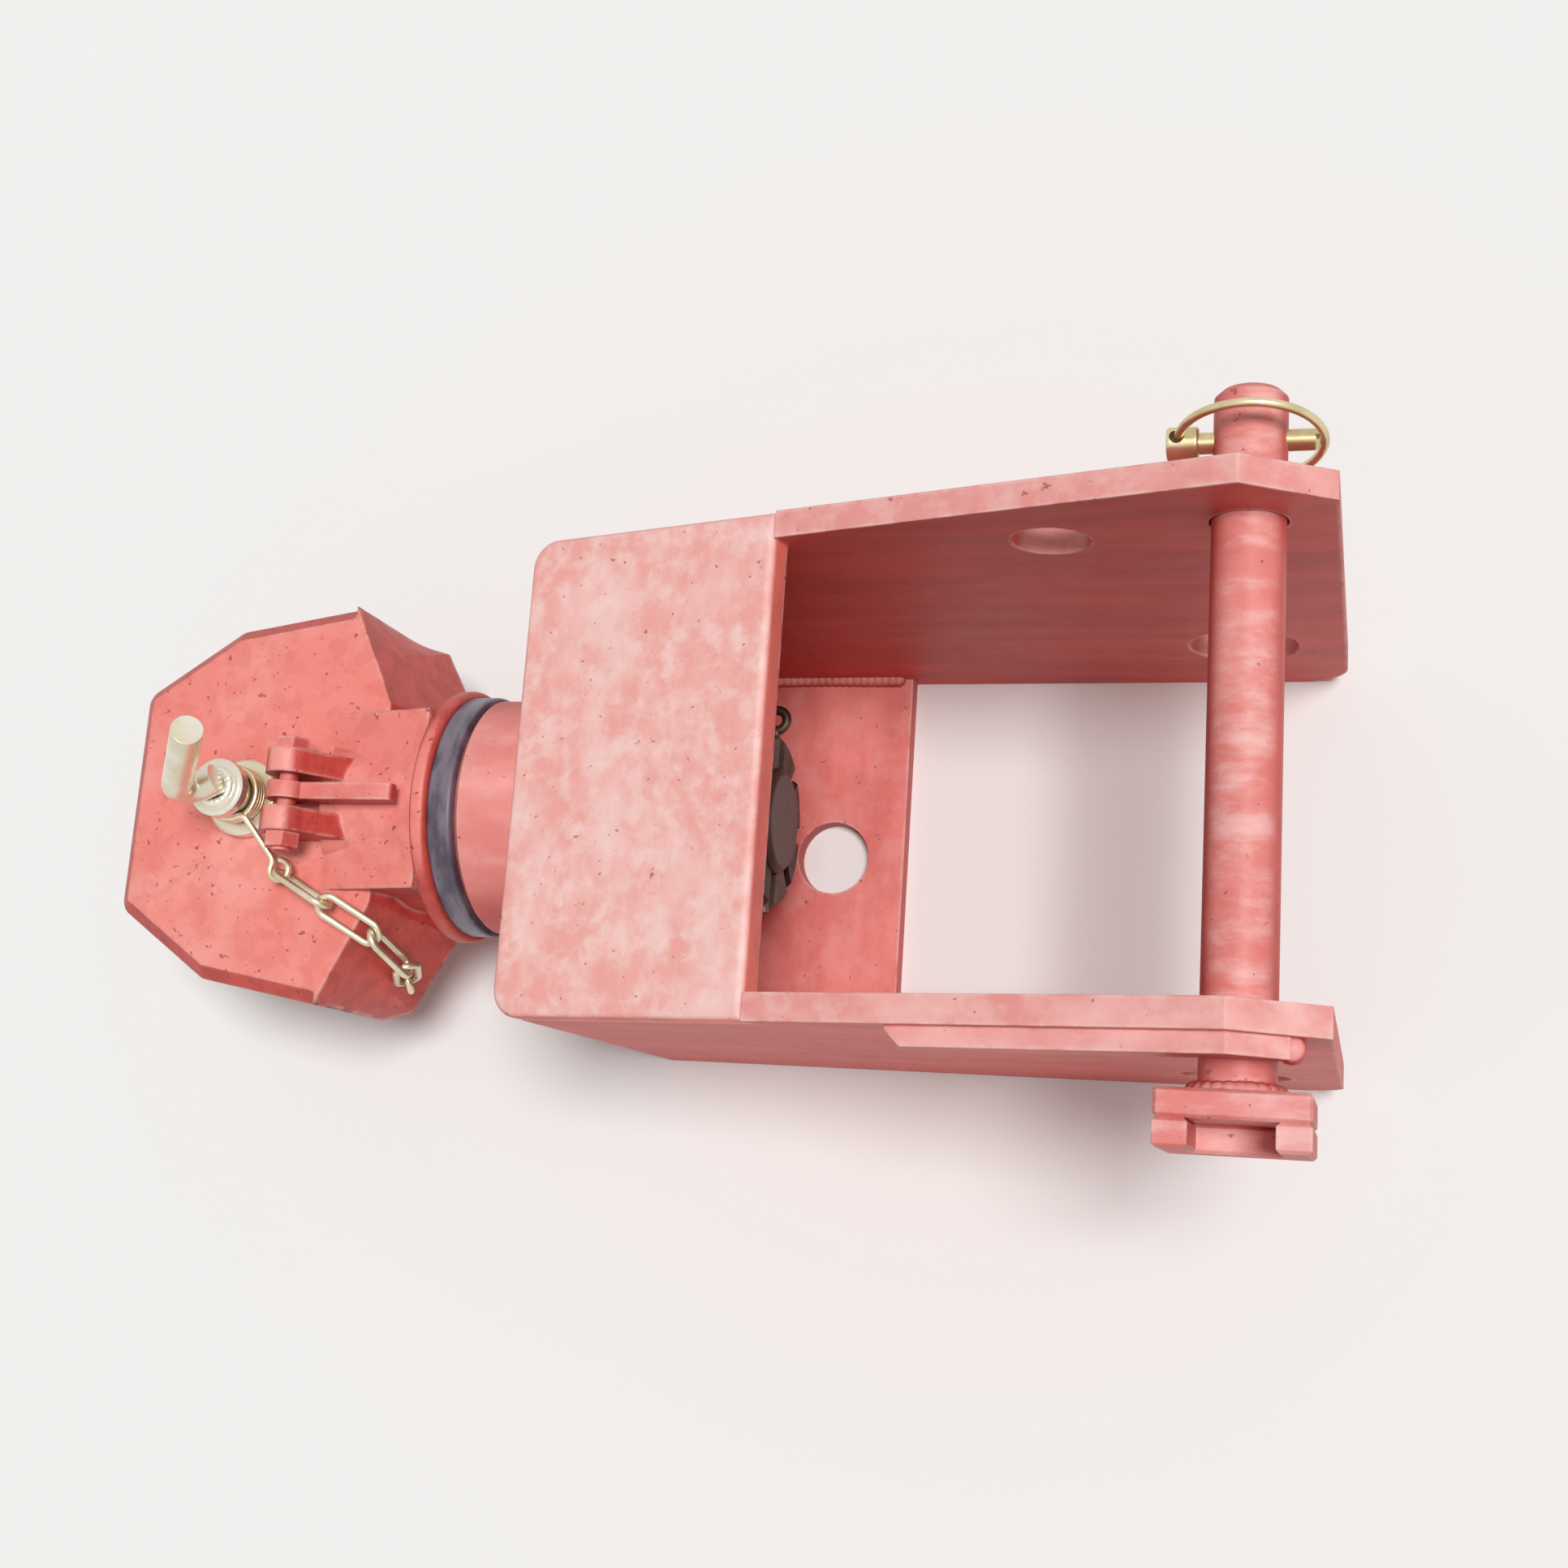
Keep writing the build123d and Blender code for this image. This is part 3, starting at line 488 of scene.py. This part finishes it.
# Chain coil: plated spring wire wound round the pin's neck, loose enough for the pin to turn in it.
# Its end is a straight tail, bent into an eye that holds the first link.
wire_radius = 0.0018
neck_radius = 0.0115
coil_gap = 0.0005
coil_turns = 3
eye_radius = 0.0054
eye_opening = 0.5
bend_leg = 0.0035
steps_in_turn = 72
steps_in_eye = 48
wire_sides = 12
tail_heading = radians(-53)
coil_low, coil_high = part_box("chain_coil")
wind_radius = neck_radius + coil_gap + wire_radius
eye_outside = eye_radius + wire_radius
eye_centre = np.array([coil_high.x - eye_outside, coil_low.y + eye_outside, 0])
tail_way = np.array([np.cos(tail_heading), np.sin(tail_heading), 0])


def bend(start, corner, end):
    """Rounded corner: the start, the corner and the end, weighted by the square of what is left of the way,
    twice the product of what is left and what is done, and the square of what is done."""
    steps = 14
    done = np.linspace(0, 1, steps)[:, None]
    return (1 - done) ** 2 * start + 2 * done * (1 - done) * corner + done ** 2 * end


def coil_path():
    """Centre line of the wire: a helix that rises two thirds of the wire's thickness a turn, a bend out of
    it, a straight tail that falls to the eye, a bend into the eye, and a circle round the eye that stops
    short of the tail."""
    leave = np.arctan(bend_leg / wind_radius)
    enter = np.arctan(bend_leg / eye_radius)
    turn = np.linspace(-2 * np.pi * coil_turns, -leave, steps_in_turn * coil_turns) + tail_heading
    low = coil_high.z - wire_radius - (coil_turns - 1) * 2 * wire_radius
    height = low + np.linspace(0, coil_turns - 1, len(turn)) * 2 * wire_radius
    helix = np.stack([pin_x + wind_radius * np.cos(turn), wind_radius * np.sin(turn), height], 1)
    eye_middle = eye_centre + np.array([0, 0, coil_low.z + wire_radius])
    outer = np.array([pin_x, 0, height[-1]]) + tail_way * wind_radius / np.cos(leave)
    inner = eye_middle - tail_way * eye_radius / np.cos(enter)
    leg = (inner - outer) / np.linalg.norm(inner - outer) * bend_leg
    round_eye = np.linspace(np.pi + enter, 3 * np.pi - eye_opening, steps_in_eye) + tail_heading
    spokes = np.stack([np.cos(round_eye), np.sin(round_eye), np.zeros(len(round_eye))], 1)
    eye = eye_middle + spokes * eye_radius
    way_out = bend(helix[-1], outer, outer + leg)
    way_in = bend(inner - leg, inner, eye[0])
    return np.concatenate([helix, way_out[1:], way_in, eye[1:]])


coil_zinc = plated("coil_zinc", bright=srgb(240, 230, 204), dull=srgb(218, 202, 164), grain=(1, 1, 1))
coil_tube = tube(coil_path(), wire_radius, upright, around=wire_sides)
coil = piece("coil_wire", [coil_tube], coil_zinc, "coil")
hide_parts("chain_coil")


# Safety chain: long links of plated round wire, each bent and butt-welded through the one before it.
# It hangs from the coil's eye and ends in a forged staple on the jaw's heel.
link_radius = 0.002
link_inside = 0.032
link_outside = 0.016
link_slack = 0.001
link_pitch = link_inside - link_slack
link_headings = np.radians((-29, -31, -61, 196))
link_slopes = np.radians((2, -23, -61, -65))
link_rolls = np.radians((99, 21, 97, 81))


def link_path():
    """Centre line of a link in its own plane: a circle whose halves are pulled apart by the straight legs.
    Its steps are shifted by half a step, so that none falls where the halves part."""
    end_radius = (link_outside - 2 * link_radius) / 2
    half = (link_inside + 2 * link_radius) / 2 - end_radius
    steps = 96
    turn = np.linspace(0, 2 * np.pi, steps, endpoint=False) + np.pi / steps
    lengthwise = end_radius * np.cos(turn) + half * np.sign(np.cos(turn))
    return np.stack([lengthwise, end_radius * np.sin(turn), np.zeros(steps)], 1)


def chain_places():
    """Middle, length direction and width direction of every link: each runs on from the end of the one
    before it, by its heading and slope, and is rolled about its own length."""
    flat = np.cos(link_slopes)
    along = np.stack([flat * np.cos(link_headings), flat * np.sin(link_headings), np.sin(link_slopes)], 1)
    sideways = np.cross(upright, along)
    sideways /= np.linalg.norm(sideways, axis=1, keepdims=True)
    above = np.cross(along, sideways)
    turn = link_rolls[:, None]
    width = sideways * np.cos(turn) + above * np.sin(turn)
    grip = (link_radius + wire_radius + link_slack) / 2
    start = eye_centre + np.array([0, 0, coil_low.z + wire_radius]) + tail_way * (eye_radius - grip)
    ends = start + link_pitch * np.cumsum(along, 0)
    return ends - along * link_pitch / 2, along, width


chain_zinc = plated("chain_zinc", bright=srgb(238, 230, 208), dull=srgb(214, 202, 172), grain=(1, 1, 1))
middles, alongs, widths = chain_places()
links = []
for middle, along, width in zip(middles, alongs, widths):
    axes = np.stack([along, width, np.cross(along, width)])
    links.append(tube(middle + link_path() @ axes, link_radius, axes[2], closed=True, around=wire_sides))
chain = piece("chain_links", links, chain_zinc, None)
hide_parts("chain")
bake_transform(chain)
wear("chain_staple", coil_zinc)


# Cross pin with its head: a painted bar, scuffed where it slides through the arms,
# and two square plates welded on as a grip.
cross_pin_paint = oxide_paint("cross_pin_paint", up=srgb(239, 146, 139), side=srgb(208, 88, 80),
                              streaks=(1, 0.45, 1), blotch=40, scuff=0.75, drag=(0.6, 1.6, 0.6))
wear("cross_pin", cross_pin_paint)
wear("head_plate", cross_pin_paint)
wear("grip_plate", cross_pin_paint)
cross_low, cross_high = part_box("cross_pin")
head_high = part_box("head_plate")[1]
cross_x = (cross_low.x + cross_high.x) / 2
cross_z = (cross_low.z + cross_high.z) / 2
head_bead = 0.004
head_ring = (cross_high.z - cross_low.z) / 2 + bead_standoff
head_weld = round_bead((cross_x, head_high.y, cross_z), head_ring, axis=1, radius=head_bead)
piece("head_weld", [head_weld], weld_paint, "cross_pin")


# Linchpin and its spring ring: a plated pin through the cross pin's end, and a ring of spring wire
# sprung into its head, which snaps over the bar to lock it. Both are brassy with age.
linch_zinc = plated("linchpin_zinc", bright=srgb(236, 222, 184), dull=srgb(206, 186, 138), grain=(5, 1, 1))
wear("linchpin", linch_zinc)
wear("linchpin_ring", linch_zinc)


# Stage: a wide matt floor in a pale tone, which the part stands on.
# One soft light shines from high over the tractor's end, under an even pale sky.
floor_half = 40
floor_corners = [(-floor_half, -floor_half, 0), (floor_half, -floor_half, 0),
                 (floor_half, floor_half, 0), (-floor_half, floor_half, 0)]
floor_mesh = bpy.data.meshes.new("floor")
floor_mesh.from_pydata(floor_corners, [], [(0, 1, 2, 3)])
floor = bpy.data.objects.new("floor", floor_mesh)
bpy.context.scene.collection.objects.link(floor)
floor_finish = Finish("pale_floor", metallic=0.0, roughness=0.8)
floor_finish.shader.inputs["Base Color"].default_value = srgb(242, 242, 240)
floor_mesh.materials.append(floor_finish.material)

key_data = bpy.data.lights.new("soft_key", "SUN")
key_data.energy = 2.3
key_data.angle = radians(18)
key = bpy.data.objects.new("soft_key", key_data)
key.location = (0.38, 0.03, 1.35)
key_target = Vector((0, 0, 0.1))
key.rotation_euler = (key_target - key.location).to_track_quat("-Z", "Y").to_euler()
bpy.context.scene.collection.objects.link(key)

world = bpy.data.worlds.new("pale_sky")
bpy.context.scene.world = world
world.use_nodes = True
sky = world.node_tree.nodes["Background"]
sky.inputs["Color"].default_value = (1, 1, 1, 1)
rays = world.node_tree.nodes.new("ShaderNodeLightPath")
seen = rays.outputs["Is Camera Ray"]
for kind in ("Is Glossy Ray", "Is Transmission Ray"):
    either = world.node_tree.nodes.new("ShaderNodeMath")
    either.operation = "MAXIMUM"
    world.node_tree.links.new(seen, either.inputs[0])
    world.node_tree.links.new(rays.outputs[kind], either.inputs[1])
    seen = either.outputs[0]
light_level = 0.28
seen_level = 0.9
level = world.node_tree.nodes.new("ShaderNodeMapRange")
level.inputs["To Min"].default_value = light_level
level.inputs["To Max"].default_value = seen_level
world.node_tree.links.new(seen, level.inputs["Value"])
world.node_tree.links.new(level.outputs["Result"], sky.inputs["Strength"])
bpy.context.scene.view_settings.view_transform = "Standard"


# Camera: it stands where the photograph was taken, steeply above the right arm.
# Its lens and its three axes were fitted to the hitch's own edges.
camera_data = bpy.data.cameras.new("camera")
camera_data.sensor_fit = "HORIZONTAL"
camera_data.sensor_width = 36
photo_width = 1932
focal_pixels = 2500
camera_data.lens = focal_pixels * camera_data.sensor_width / photo_width
camera_data.clip_end = 200
camera = bpy.data.objects.new("camera", camera_data)
right = (0.959443575, 0.066546591, -0.273933528)
down = (0.006657656, -0.976815513, -0.213979273)
ahead = (-0.281822110, 0.203477283, -0.937642412)
place = (0.298893, -0.196287, 1.113779)
pose = Matrix.Identity(4)
pose.col[0][:3] = right
pose.col[1][:3] = [-share for share in down]
pose.col[2][:3] = [-share for share in ahead]
pose.col[3][:3] = place
camera.matrix_world = pose
bpy.context.scene.collection.objects.link(camera)
bpy.context.scene.camera = camera
